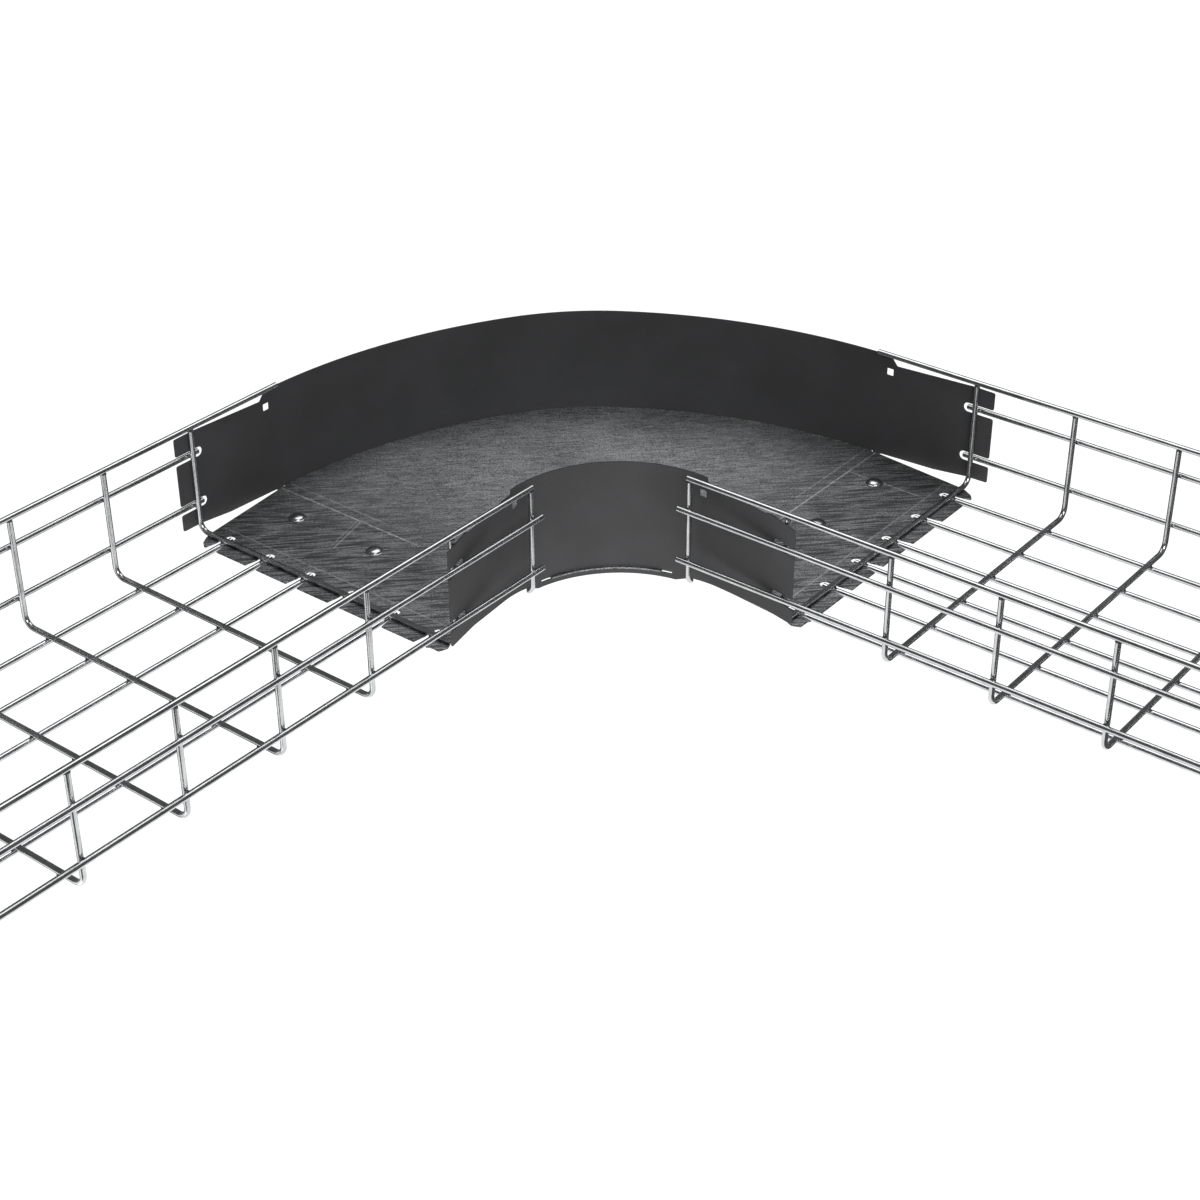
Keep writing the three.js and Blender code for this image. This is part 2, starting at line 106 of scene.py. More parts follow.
def add_node(tree, kind, settings=None, links=None):
    """Adds one node; settings name its sockets or properties, links name sockets to feed."""
    node = tree.nodes.new(kind)
    for name, value in (settings or {}).items():
        if isinstance(name, int) or name in node.inputs:
            node.inputs[name].default_value = value
        else:
            setattr(node, name, value)
    for name, source in (links or {}).items():
        tree.links.new(source, node.inputs[name])
    return node


def new_finish(name, **sockets):
    """A material with one Principled shader, whose uniform values sit on its own sockets."""
    material = bpy.data.materials.new(name)
    material.use_nodes = True
    shader = material.node_tree.nodes["Principled BSDF"]
    for socket, value in sockets.items():
        shader.inputs[socket.replace("_", " ")].default_value = value
    return material, material.node_tree, shader


# %% [markdown]
# ## Zinc-plated drawn wire
#
# The mesh is cold-drawn steel wire, welded and then electro-zinc plated. Drawing leaves fine lines
# along the wire, and plating leaves soft cloudy patches, so a wire shows a sharp bright streak that
# wavers a little. Lines on the real wire are some hundredths of a millimetre apart, too fine to
# show, so they are drawn 1.1 mm apart. They follow the UV map, which runs along each wire.

# %% Make the wire finish
wire_zinc, tree, shader = new_finish("zinc_plated_drawn_wire", Metallic=1.0)
uv = add_node(tree, "ShaderNodeUVMap", {"uv_map": "along"})
place = add_node(tree, "ShaderNodeTexCoord").outputs["Object"]
DRAW_LINE = (1 / (60 * MM), 1 / (1.1 * MM), 1)
stretched = add_node(tree, "ShaderNodeVectorMath", {"operation": "MULTIPLY", 1: DRAW_LINE},
                     {0: uv.outputs["UV"]})
draw_lines = add_node(tree, "ShaderNodeTexNoise", {"Scale": 1.0, "Detail": 2.0},
                      {"Vector": stretched.outputs["Vector"]})
clouds = add_node(tree, "ShaderNodeTexNoise", {"Scale": 1 / (14 * MM), "Detail": 4.0,
                                              "Roughness": 0.6}, {"Vector": place})
patches = add_node(tree, "ShaderNodeMapRange", {"From Min": 0.35, "From Max": 0.65},
                   {"Value": clouds.outputs["Fac"]})
plated = add_node(tree, "ShaderNodeMixRGB",
                  {"Color1": linear("#c3c5c6"), "Color2": linear("#dcdedf")},
                  {"Fac": patches.outputs["Result"]})
lined = add_node(tree, "ShaderNodeMixRGB",
                 {"blend_type": "MULTIPLY", "Fac": 0.12},
                 {"Color1": plated.outputs["Color"], "Color2": draw_lines.outputs["Fac"]})
dull = add_node(tree, "ShaderNodeMapRange", {"To Min": 0.15, "To Max": 0.22},
                {"Value": patches.outputs["Result"]})
ridges = add_node(tree, "ShaderNodeBump", {"Strength": 0.10, "Distance": 0.02 * MM},
                  {"Height": draw_lines.outputs["Fac"]})
tree.links.new(lined.outputs["Color"], shader.inputs["Base Color"])
tree.links.new(dull.outputs["Result"], shader.inputs["Roughness"])
tree.links.new(ridges.outputs["Normal"], shader.inputs["Normal"])
print("finish:", wire_zinc.name)

# %% [markdown]
# ## Welds
#
# Where two wires cross they are resistance welded: the joint is squeezed while it is hot and a small
# collar of metal is pushed out round it. The heat leaves the collar grey and matt under the plating.

# %% Make the weld finish
weld_grey, tree, shader = new_finish("plated_weld_collar", Metallic=1.0)
place = add_node(tree, "ShaderNodeTexCoord").outputs["Object"]
scale_marks = add_node(tree, "ShaderNodeTexNoise", {"Scale": 1 / (0.9 * MM), "Detail": 3.0},
                       {"Vector": place})
burnt = add_node(tree, "ShaderNodeMixRGB",
                 {"Color1": linear("#4c4d4e"), "Color2": linear("#85878a")},
                 {"Fac": scale_marks.outputs["Fac"]})
pitted = add_node(tree, "ShaderNodeBump", {"Strength": 0.6, "Distance": 0.15 * MM},
                  {"Height": scale_marks.outputs["Fac"]})
shader.inputs["Roughness"].default_value = 0.5
tree.links.new(burnt.outputs["Color"], shader.inputs["Base Color"])
tree.links.new(pitted.outputs["Normal"], shader.inputs["Normal"])
print("finish:", weld_grey.name)

# %% [markdown]
# ## Sweeping a wire
#
# A wire could be a curve with a round bevel, but a curve's end is a bare disc. Here rings of
# vertices are laid along the wire's stations, and the last ring at each end is a little smaller, so
# a cut end catches the light on its edge as sheared wire does. UVs are in metres, along and around.

# %% Sweep a round wire through stations
RING = 20
END_EDGE = 0.45 * MM


def wire_rings(stations, side):
    """Rings round (point, heading) stations; side is a vector square to every heading."""
    first, heading = stations[0]
    last, final = stations[-1]
    rings = [(first, heading, WIRE / 2 - END_EDGE), (first + heading * END_EDGE, heading, WIRE / 2)]
    rings += [(point, turn, WIRE / 2) for point, turn in stations[1:-1]]
    rings += [(last - final * END_EDGE, final, WIRE / 2), (last, final, WIRE / 2 - END_EDGE)]
    return [(centre, side, turn.cross(side), radius) for centre, turn, radius in rings]


def sweep_wire(mesh, stations, side):
    along_uv = mesh.loops.layers.uv["along"]
    angles = [2 * math.pi * i / RING for i in range(RING)]
    length = 0
    previous = None
    for centre, u_axis, v_axis, radius in wire_rings(stations, side):
        ring = [mesh.verts.new(centre + u_axis * (radius * math.cos(a)) + v_axis * (radius * math.sin(a)))
                for a in angles]
        if previous is None:
            mesh.faces.new(ring[::-1])
        else:
            step = (centre - previous[1]).length
            for i in range(RING):
                j = (i + 1) % RING
                face = mesh.faces.new((previous[0][i], previous[0][j], ring[j], ring[i]))
                face.smooth = True
                around = [i, i + 1, i + 1, i]
                distance = [length, length, length + step, length + step]
                for loop, u, v in zip(face.loops, distance, around):
                    loop[along_uv].uv = (u, v * math.pi * WIRE / RING)
            length += step
        previous = (ring, centre)
    mesh.faces.new(previous[0])
    return length


def new_mesh():
    mesh = bmesh.new()
    mesh.loops.layers.uv.new("along")
    return mesh


def add_piece(name, mesh, node, materials, sharp_above=35):
    """Turns a bmesh into the piece that stands for a node, and hides that node."""
    bmesh.ops.recalc_face_normals(mesh, faces=mesh.faces[:])
    data = bpy.data.meshes.new(name)
    mesh.to_mesh(data)
    mesh.free()
    data.set_sharp_from_angle(angle=math.radians(sharp_above))
    for material in materials:
        data.materials.append(material)
    piece = bpy.data.objects.new(name, data)
    bpy.context.scene.collection.objects.link(piece)
    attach(piece, "root")
    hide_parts(node)


print("a wire has", RING, "sides and", END_EDGE / MM, "mm sheared edges")

# %% [markdown]
# ## The straight wires
#
# Each run has six wires along its floor and three along each wall. A wire's box says all there is to
# know: it runs along the box's longest side, through its middle.

# %% Make the straight wires
def straight_stations(node):
    low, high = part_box(node)
    size = high - low
    axis = max(range(3), key=lambda k: size[k])
    centre = (low + high) / 2
    heading = Vector([1.0 if k == axis else 0.0 for k in range(3)])
    start, end = centre.copy(), centre.copy()
    start[axis], end[axis] = low[axis], high[axis]
    side = Vector((0, 0, 1)).cross(heading)
    return [(start, heading), (end, heading)], side


straight_names = [f"floor_wire_{i}" for i in range(1, 7)]
straight_names += [f"{wall}_{level}_wire" for wall in ("outer", "inner") for level in ("low", "mid", "top")]
for run in ("right", "left"):
    for name in straight_names:
        mesh = new_mesh()
        stations, side = straight_stations(f"{run}_{name}")
        length = sweep_wire(mesh, stations, side)
        add_piece(f"{run}_{name}_round", mesh, f"{run}_{name}", [wire_zinc])
print("straight wires:", 2 * len(straight_names), "the last is", round(length / MM), "mm long")

# %% [markdown]
# ## The cross wires and their welds
#
# A cross wire is one piece: down the inside wall, across the floor and up the outside wall, bent
# over a 10 mm former. Each crossing carries a collar of weld metal, wider than it is thick, that
# fills the crevice between the two round wires. Its rim is slightly uneven, and differs along a run.
# The collars are part of the cross wire's mesh, with the weld finish in a second slot.

# %% Shape a cross wire
BEND_RADIUS = 10 * MM
CORNER = 90
CUT_CORNER = 62  # degrees of the corner that the saw left on a cut wire


def corner_stations(centre, first_angle, last_angle, steps=8):
    """Stations round a bend, with the wire heading the way the angle grows."""
    stations = []
    for i in range(steps + 1):
        a = math.radians(first_angle + (last_angle - first_angle) * i / steps)
        point = centre + Vector((0, math.cos(a), math.sin(a))) * BEND_RADIUS
        stations.append((point, Vector((0, -math.sin(a), math.cos(a)))))
    return stations


def cross_stations(whole, top):
    """Stations in the plane along = 0, as (0, across, height) in metres."""
    down, up = Vector((0, 0, -1)), Vector((0, 0, 1))
    centre_z = cross_floor + BEND_RADIUS
    stations = [(Vector((0, inner_uprights, top)), down)]
    inner_corner = Vector((0, inner_uprights + BEND_RADIUS, centre_z))
    stations += corner_stations(inner_corner, 180, 180 + (CORNER if whole else CUT_CORNER))
    if whole:
        outer_corner = Vector((0, outer_uprights - BEND_RADIUS, centre_z))
        stations += corner_stations(outer_corner, 270, 270 + CORNER)
        stations.append((Vector((0, outer_uprights, top)), up))
    return stations


print("a whole cross wire has", len(cross_stations(True, top_wire)), "stations")

# %% Shape a weld collar
COLLAR_RING = 14
COLLAR_RADIUS = 2.5 * MM
COLLAR_DEPTH = 1.1 * MM
TOP_COLLAR = 1.15  # the collars under the top wires are this much larger


def weld_collar(mesh, centre, normal, size, seed):
    """A flattened, slightly uneven ring of weld metal between two crossing wires."""
    u_axis = normal.orthogonal().normalized()
    v_axis = normal.cross(u_axis)
    layers = []
    for level in (-62, -25, 25, 62):
        phi = math.radians(level)
        ring = []
        for i in range(COLLAR_RING):
            a = 2 * math.pi * i / COLLAR_RING
            uneven = 1 + 0.10 * math.sin(2 * a + seed) + 0.06 * math.sin(5 * a + 2.3 * seed)
            reach = COLLAR_RADIUS * size * uneven * math.cos(phi)
            ring.append(mesh.verts.new(centre + u_axis * (reach * math.cos(a))
                                       + v_axis * (reach * math.sin(a))
                                       + normal * (COLLAR_DEPTH * size * math.sin(phi))))
        layers.append(ring)
    faces = [mesh.faces.new(layers[0][::-1]), mesh.faces.new(layers[-1])]
    for lower, upper in zip(layers, layers[1:]):
        for i in range(COLLAR_RING):
            j = (i + 1) % COLLAR_RING
            faces.append(mesh.faces.new((lower[i], lower[j], upper[j], upper[i])))
    for face in faces:
        face.smooth = True
        face.material_index = 1


def welds_on(whole):
    """Places of the crossings in the plane of a cross wire: (across, height, normal, size)."""
    up, out = Vector((0, 0, 1)), Vector((0, 1, 0))
    walls = [(inner_uprights, middle("right_inner_low_wire").y - bend.y)]
    if whole:
        walls.append((outer_uprights, middle("right_outer_low_wire").y - bend.y))
    places = []
    for upright, side_wires in walls:
        places += [((upright + side_wires) / 2, level, out, 1) for level in (low_wire, mid_wire)]
        places.append((upright, top_wire - WIRE / 2 - PLAY, up, TOP_COLLAR))
    if whole:
        floor_z = middle("right_floor_wire_1").z
        places += [(line, (floor_z + cross_floor) / 2, up, 1) for line in floor_lines]
    return places


print("welds on a whole cross wire:", len(welds_on(True)), "and on a cut one:", len(welds_on(False)))

# %% Make the cross wires
def on_run(run, along, vector, is_place=True):
    """A place or direction given in a cross wire's plane, on the right or the left run."""
    x, y, z = vector
    if is_place:
        x += along
    if run == "left":
        x, y = -y, -x
    return Vector((x, y, z)) + (bend if is_place else Vector())


def make_cross_wire(run, name, along, whole):
    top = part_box(f"{run}_{name}")[1].z
    mesh = new_mesh()
    stations = [(on_run(run, along, point), on_run(run, along, heading, False))
                for point, heading in cross_stations(whole, top)]
    sweep_wire(mesh, stations, on_run(run, along, (1, 0, 0), False))
    for i, (across, height, normal, size) in enumerate(welds_on(whole)):
        weld_collar(mesh, on_run(run, along, (0, across, height)), on_run(run, along, normal, False),
                    size, seed=along * 31 + i * 1.7)
    add_piece(f"{run}_{name}_round", mesh, f"{run}_{name}", [wire_zinc, weld_grey])
    return len(welds_on(whole))


welds = 0
pitch = middle("right_cross_wire_2").x - middle("right_cross_wire_1").x
for run in ("right", "left"):
    for i in range(6):
        welds += make_cross_wire(run, f"cross_wire_{i + 1}", first_cross + i * pitch, whole=True)
    welds += make_cross_wire(run, "cut_cross_wire", 0.0, whole=False)
print("cross wires: 14, welds:", welds, "at a pitch of", round(pitch / MM), "mm")

# %% [markdown]
# ## Cutting sheet
#
# The plate and the panels are laser-cut sheet. A drawing of closed outlines is turned into a sheet:
# the faces are filled between outlines drawn in by the width of the edge, and the wall between them
# has a small bevel top and bottom. A real cut edge is never a knife edge, and without that bevel it
# would catch no light. A corner of the drawing is eased with a small arc, as a cutter leaves it.

# %% Draw arcs and eased corners
def arc(centre, radius, first, last, step=1.5):
    """Points of an arc, angles in degrees."""
    count = max(1, math.ceil(abs(last - first) / step))
    angles = [math.radians(first + (last - first) * i / count) for i in range(count + 1)]
    return [(centre[0] + radius * math.cos(a), centre[1] + radius * math.sin(a)) for a in angles]


def eased(corners, steps=5):
    """Outline from (x, y, radius) corners, each turned into an arc of about that radius."""
    outline = []
    for i, (x, y, radius) in enumerate(corners):
        if not radius:
            outline.append((x, y))
            continue
        here = Vector((x, y))
        back = Vector(corners[i - 1][:2]) - here
        ahead = Vector(corners[(i + 1) % len(corners)][:2]) - here
        opening = back.angle(ahead)
        reach = min(radius / math.tan(opening / 2), back.length * 0.45, ahead.length * 0.45)
        start, end = here + back.normalized() * reach, here + ahead.normalized() * reach
        for k in range(steps + 1):
            t = k / steps
            point = start * (1 - t) ** 2 + here * (2 * t * (1 - t)) + end * t ** 2
            outline.append((point.x, point.y))
    return outline


def square(x, y, side, ease, steps):
    """A square hole's outline, with its corners eased."""
    half = side / 2
    return eased([(x - half, y - half, ease), (x + half, y - half, ease),
                  (x + half, y + half, ease), (x - half, y + half, ease)], steps)


# %% Turn outlines into sheet
EDGE = 0.18 * MM


def turned(outline, anticlockwise):
    area = sum(a[0] * b[1] - b[0] * a[1] for a, b in zip(outline, outline[1:] + outline[:1]))
    return outline if (area > 0) == anticlockwise else outline[::-1]


def drawn_in(outline, distance):
    """The outline moved to its left by a distance."""
    moved = []
    for i, point in enumerate(outline):
        before, after = outline[i - 1], outline[(i + 1) % len(outline)]
        d1 = (Vector(point) - Vector(before)).normalized()
        d2 = (Vector(after) - Vector(point)).normalized()
        n1, n2 = Vector((-d1.y, d1.x)), Vector((-d2.y, d2.x))
        shift = (n1 + n2) * (distance / max(1 + n1.dot(n2), 0.3))
        moved.append((point[0] + shift.x, point[1] + shift.y))
    return moved


def cut_sheet(outer, holes, thickness):
    """A bmesh sheet lying in XY, centred on z = 0."""
    mesh = new_mesh()
    outlines = [turned(outer, True)] + [turned(hole, False) for hole in holes]
    levels = [-thickness / 2, -thickness / 2 + EDGE, thickness / 2 - EDGE, thickness / 2]
    caps = {0: [], 3: []}
    for outline in outlines:
        inside = drawn_in(outline, EDGE)
        rings = []
        for k, z in enumerate(levels):
            ring = [mesh.verts.new((x, y, z)) for x, y in (inside if k in caps else outline)]
            if k in caps:
                caps[k] += [mesh.edges.new((a, b)) for a, b in zip(ring, ring[1:] + ring[:1])]
            rings.append(ring)
        for lower, upper in zip(rings, rings[1:]):
            for i in range(len(outline)):
                j = (i + 1) % len(outline)
                mesh.faces.new((lower[i], lower[j], upper[j], upper[i]))
    for edges in caps.values():
        bmesh.ops.triangle_fill(mesh, use_beauty=True, edges=edges)
    return mesh


print("cut edges are bevelled", EDGE / MM, "mm")

# %% [markdown]
# ## The two sweep lines
#
# Seen from above, the outside panel is flat at its ends, then follows a gentle arc, a tighter arc
# over the middle 24 degrees, and a gentle arc again. The inside panel is one arc of 110 mm radius,
# and its flat ends leave it as tangents, tilted to slip past the first whole upright. Both lines are
# drawn for half of the bend and reflected.

# %% Draw the sweep lines
PANEL = 1.2 * MM
outer_line = outer_uprights + WIRE / 2 + PLAY + PANEL / 2 + 0.6 * MM
FLANK = outer_line * 1.19
CROWN = outer_line * 0.62
CROWN_TURN = 12
flank_turn = math.radians(45 - CROWN_TURN)
step_in = FLANK - CROWN
flank_start = step_in * math.sin(flank_turn) - (outer_line - FLANK + step_in * math.cos(flank_turn))
flank_centre = (flank_start, outer_line - FLANK)
crown_centre = (flank_start - step_in * math.sin(flank_turn),
                flank_centre[1] + step_in * math.cos(flank_turn))


def outer_half(beyond, end):
    """From a place along the flat end to the middle of the bend."""
    points = [(end, outer_line + beyond)]
    points += arc(flank_centre, FLANK + beyond, 90, 135 - CROWN_TURN)
    points += arc(crown_centre, CROWN + beyond, 135 - CROWN_TURN, 135)[1:]
    return points


SWEEP = inner_uprights + 15 * MM
clear_of_upright = WIRE / 2 + PLAY + PANEL / 2
TILT = (math.asin((SWEEP + clear_of_upright) / math.hypot(first_cross, inner_uprights))
        - math.atan2(inner_uprights, first_cross))
flap_normal = (math.sin(TILT), math.cos(TILT))


def flap_across(along):
    return (SWEEP - along * flap_normal[0]) / flap_normal[1]


def inner_half(beyond, end):
    flap_end = (end + beyond * flap_normal[0], flap_across(end) + beyond * flap_normal[1])
    return [flap_end] + arc((0, 0), SWEEP + beyond, 90 - math.degrees(TILT), 135)


print("flat ends tilted", round(math.degrees(TILT), 1), "degrees")

# %% [markdown]
# ## The base plate
#
# One flat sheet, with a slot at each end for every floor wire. Along both curves its edge stands out
# as a tongue through a slit in the panel. The drawing is made for the right half, from the middle of
# the outer curve round to the middle of the inner one, and reflected for the left half.

# %% Draw the base plate
TONGUE = PANEL / 2 + 1.9 * MM
TUCKED = PANEL / 2 + 0.5 * MM
TONGUE_BACK = 9 * MM
TONGUE_START = 108.5
EDGE_BACK = 12 * MM
plate_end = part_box("base_plate")[1].x - bend.x
SLOT = 9.4 * MM
SLOT_MOUTH = 12 * MM
SLOT_FLARE = 2.2 * MM
slot_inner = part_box("right_floor_wire_1")[0].x - bend.x - 3 * MM


def plate_slot(across):
    half = SLOT / 2
    points = [(plate_end, across + half + SLOT_FLARE), (plate_end - SLOT_MOUTH, across + half)]
    points += arc((slot_inner + half, across), half, 90, 270, step=12)
    points += [(plate_end - SLOT_MOUTH, across - half), (plate_end, across - half - SLOT_FLARE)]
    return points


def plate_half():
    tongue = [p for p in outer_half(TONGUE, 0) if p[0] < -TONGUE_BACK][::-1]
    tucked = outer_line - TUCKED - 0.4 * MM
    points = tongue + [(-TONGUE_BACK, tongue[-1][1]), (-TONGUE_BACK, tucked), (0, tucked)]
    corner = [(-5, -6.8, 0), (3, -9, 2), (11, -13.5, 2), (15, -18.5, 2)]
    corner = [(first_cross + a * MM, outer_uprights + t * MM, r * MM) for a, t, r in corner]
    points += eased([(0, tucked, 0)] + corner + [(plate_end, outer_uprights - 22 * MM, 0)])[1:-1]
    for across in floor_lines[::-1]:
        points += plate_slot(across)
    inner = [(plate_end - 2 * MM, inner_uprights + 18 * MM, 1.5 * MM),
             (plate_end - 2 * MM, inner_uprights + 8 * MM, 2 * MM),
             (first_cross + 5 * MM, inner_uprights + 4.7 * MM, 2 * MM)]
    inner += [(first_cross - 6 * MM, flap_across(first_cross - 6 * MM) + EDGE_BACK, 3 * MM),
              (-10 * MM, SWEEP + EDGE_BACK / 2, 3 * MM)]
    shoulder = arc((0, 0), SWEEP + TUCKED, TONGUE_START - 9, TONGUE_START)
    points += eased([(plate_end, inner_uprights + 20 * MM, 0)] + inner + [(*shoulder[0], 0)])[1:-1]
    points += shoulder + arc((0, 0), SWEEP - TONGUE, TONGUE_START, 135)
    return points


half_outline = plate_half()
plate_outline = half_outline + [mirrored(p) for p in half_outline][::-1][1:-1]
print("plate outline:", len(plate_outline), "corners")

# %% Cut the base plate and its bolt holes
BOLT_HOLE = 6.6 * MM
bolt_places = []
for name in ("carriage_bolt_1", "carriage_bolt_2"):
    spot = middle(f"right_{name}") - bend
    bolt_places += [(spot.x, spot.y), mirrored((spot.x, spot.y))]
holes = [square(x, y, BOLT_HOLE, ease=0.6 * MM, steps=2) for x, y in bolt_places]
plate_mesh = cut_sheet(plate_outline, holes, plate_high - plate_low)
bmesh.ops.translate(plate_mesh, verts=plate_mesh.verts[:],
                    vec=bend + Vector((0, 0, (plate_low + plate_high) / 2)))
print("plate:", round((plate_high - plate_low) / MM, 2), "mm thick, with", len(holes), "square holes")

# %% [markdown]
# ## Galvanised sheet
#
# The plate is hot-dip galvanised sheet, rolled after dipping. Rolling leaves a fine grain along the
# sheet, handling adds thin scratches both ways, and the zinc's crystals show as faint patches. The
# real grain is about 0.1 mm wide, too fine to show, so it is drawn 1.2 mm wide and 15 mm long. It
# runs square to the line in which the bend is mirrored. Over it lies an even grit, drawn 0.9 mm
# across. The ends are darker, in streaks. This is painted shade for the light that falls off
# towards the ends, laid in as the dark strokes seen there. Cutting lines scribed on the plate are
# bright, because the scriber has gone through the dull skin of the zinc.

# %% Make the galvanised finish
galvanised, tree, shader = new_finish("galvanised_sheet", Metallic=1.0)
place = add_node(tree, "ShaderNodeTexCoord").outputs["Object"]


def streaks(turn_degrees, wide, long, detail=3.0):
    """Noise drawn out into streaks that lie at an angle to +X; sizes in metres."""
    laid = add_node(tree, "ShaderNodeMapping", {"vector_type": "TEXTURE",
                                                "Rotation": (0, 0, math.radians(turn_degrees)),
                                                "Scale": (long, wide, wide)}, {"Vector": place})
    return add_node(tree, "ShaderNodeTexNoise", {"Scale": 1.0, "Detail": detail},
                    {"Vector": laid.outputs["Vector"]}).outputs["Fac"]


grain = streaks(45, 1.2 * MM, 15 * MM, detail=1.5)
grit = add_node(tree, "ShaderNodeTexNoise", {"Scale": 1 / (0.9 * MM), "Detail": 1.0},
                {"Vector": place}).outputs["Fac"]
fine_grit = add_node(tree, "ShaderNodeMapRange", {"From Min": 0.3, "From Max": 0.7}, {"Value": grit})
cloud = add_node(tree, "ShaderNodeTexNoise", {"Scale": 1 / (55 * MM), "Detail": 3.0},
                 {"Vector": place}).outputs["Fac"]
spangle = add_node(tree, "ShaderNodeTexVoronoi", {"Scale": 1 / (9 * MM)}, {"Vector": place})
spangle = add_node(tree, "ShaderNodeRGBToBW", None, {"Color": spangle.outputs["Color"]})
grained = add_node(tree, "ShaderNodeMapRange", {"From Min": 0.3, "From Max": 0.7}, {"Value": grain})
tone = add_node(tree, "ShaderNodeMixRGB",
                {"Color1": linear("#949697"), "Color2": linear("#d2d4d6")},
                {"Fac": grained.outputs["Result"]})
for amount, pattern in ((1.0, fine_grit.outputs["Result"]), (0.5, cloud),
                        (0.12, spangle.outputs["Val"])):
    tone = add_node(tree, "ShaderNodeMixRGB", {"blend_type": "OVERLAY", "Fac": amount},
                    {"Color1": tone.outputs["Color"], "Color2": pattern})
print("grain and grit laid on", galvanised.name)

# %% Darken the plate's ends in streaks, as painted shade
# how far a place lies past the bend centre, along whichever run it is on
END_SHADE_START, END_SHADE_FULL = -110 * MM, 30 * MM
offset = add_node(tree, "ShaderNodeVectorMath", {"operation": "SUBTRACT", 1: bend}, {0: place})
apart = add_node(tree, "ShaderNodeSeparateXYZ", None, {0: offset.outputs["Vector"]})
left_way = add_node(tree, "ShaderNodeMath", {"operation": "MULTIPLY", 1: -1.0}, {0: apart.outputs["Y"]})
along_run = add_node(tree, "ShaderNodeMath", {"operation": "MAXIMUM"},
                     {0: apart.outputs["X"], 1: left_way.outputs["Value"]})
near_end = add_node(tree, "ShaderNodeMapRange", {"From Min": END_SHADE_START, "From Max": END_SHADE_FULL},
                    {"Value": along_run.outputs["Value"]})
shade_streaks = add_node(tree, "ShaderNodeMapRange", {"From Min": 0.42, "From Max": 0.62, "To Min": 0.25},
                     {"Value": streaks(45, 2.2 * MM, 30 * MM, detail=2.0)})
end_shade_and_streaks = add_node(tree, "ShaderNodeMath", {"operation": "MULTIPLY"},
                     {0: near_end.outputs["Result"], 1: shade_streaks.outputs["Result"]})
# painted shade: the plate's colour is mixed towards dark grey in streaks towards both ends, where the light
# falls off
tone = add_node(tree, "ShaderNodeMixRGB", {"Color2": linear("#5f6162")},
                {"Fac": end_shade_and_streaks.outputs["Value"], "Color1": tone.outputs["Color"]})
print("rubbed darker towards the ends, over", round((END_SHADE_FULL - END_SHADE_START) / MM), "mm")

# %% Scratch the plate
for angle, wide, long in ((20, 0.35 * MM, 60 * MM), (-38, 0.35 * MM, 45 * MM), (72, 0.3 * MM, 30 * MM)):
    scratch = add_node(tree, "ShaderNodeMapRange", {"From Min": 0.66, "From Max": 0.72, "To Max": 0.45},
                       {"Value": streaks(angle, wide, long, detail=1.0)})
    tone = add_node(tree, "ShaderNodeMixRGB", {"Color2": linear("#b9bbbd")},
                    {"Fac": scratch.outputs["Result"], "Color1": tone.outputs["Color"]})
print("scratches laid at three angles")

# %% Scribe the plate
# the scriber skips on the hard skin, so a line is brighter and fainter by turns
skips = add_node(tree, "ShaderNodeMapRange", {"From Min": 0.4, "From Max": 0.6, "To Min": 0.35},
                 {"Value": streaks(0, 2.5 * MM, 2.5 * MM, detail=1.0)})


def scribed(start, end, strength):
    """How much of a scribed line is at a point: its strength on the line, 0 off it."""
    start, end = (Vector((*p, 0)) * MM + bend for p in (start, end))
    heading = (end - start).normalized()
    across = Vector((-heading.y, heading.x, 0))
    offset = add_node(tree, "ShaderNodeVectorMath", {"operation": "SUBTRACT", 1: (start + end) / 2},
                      {0: place})
    spans = []
    for axis in (across, heading):
        dot = add_node(tree, "ShaderNodeVectorMath", {"operation": "DOT_PRODUCT", 1: axis},
                       {0: offset.outputs["Vector"]})
        spans.append(add_node(tree, "ShaderNodeMath", {"operation": "ABSOLUTE"},
                              {0: dot.outputs["Value"]}).outputs["Value"])
    near = add_node(tree, "ShaderNodeMapRange", {"From Min": SCRIBED * 0.3, "From Max": SCRIBED,
                                                 "To Min": strength, "To Max": 0.0}, {"Value": spans[0]})
    near = add_node(tree, "ShaderNodeMath", {"operation": "MULTIPLY"},
                    {0: near.outputs["Result"], 1: skips.outputs["Result"]})
    within = add_node(tree, "ShaderNodeMath", {"operation": "LESS_THAN", 1: (end - start).length / 2},
                      {0: spans[1]})
    return add_node(tree, "ShaderNodeMath", {"operation": "MULTIPLY"},
                    {0: near.outputs["Value"], 1: within.outputs["Value"]}).outputs["Value"]


SCRIBED = 1.2 * MM
# (along, across) of each line's ends on the right run, in mm, its strength, and the runs it is on
scribe_lines = [
    ((-3, 402), (-3, 232), 1.0, ("right", "left")),
    ((-14, 401), (-14, 282), 0.6, ("right", "left")),
    ((-1.7, 355), (74, 355), 0.8, ("right",)),
    ((-1, 300), (47.5, 287), 0.6, ("left",)),
    ((-1, 304), (44, 292), 0.4, ("left",)),
    ((81, 390), (81, 118), 0.5, ("right", "left")),
]
for start, end, strength, runs in scribe_lines:
    for run in runs:
        ends = (start, end) if run == "right" else (mirrored(start), mirrored(end))
        line = scribed(*ends, strength)
        tone = add_node(tree, "ShaderNodeMixRGB", {"Color2": linear("#f2f4f6")},
                        {"Fac": line, "Color1": tone.outputs["Color"]})
matt = add_node(tree, "ShaderNodeMapRange", {"To Min": 0.42, "To Max": 0.62}, {"Value": grain})
relief = add_node(tree, "ShaderNodeBump", {"Strength": 0.3, "Distance": 0.04 * MM}, {"Height": grain})
tree.links.new(tone.outputs["Color"], shader.inputs["Base Color"])
tree.links.new(matt.outputs["Result"], shader.inputs["Roughness"])
tree.links.new(relief.outputs["Normal"], shader.inputs["Normal"])
add_piece("base_plate_sheet", plate_mesh, "base_plate", [galvanised], sharp_above=20)
print("finish:", galvanised.name, "with", len(tree.nodes), "nodes")

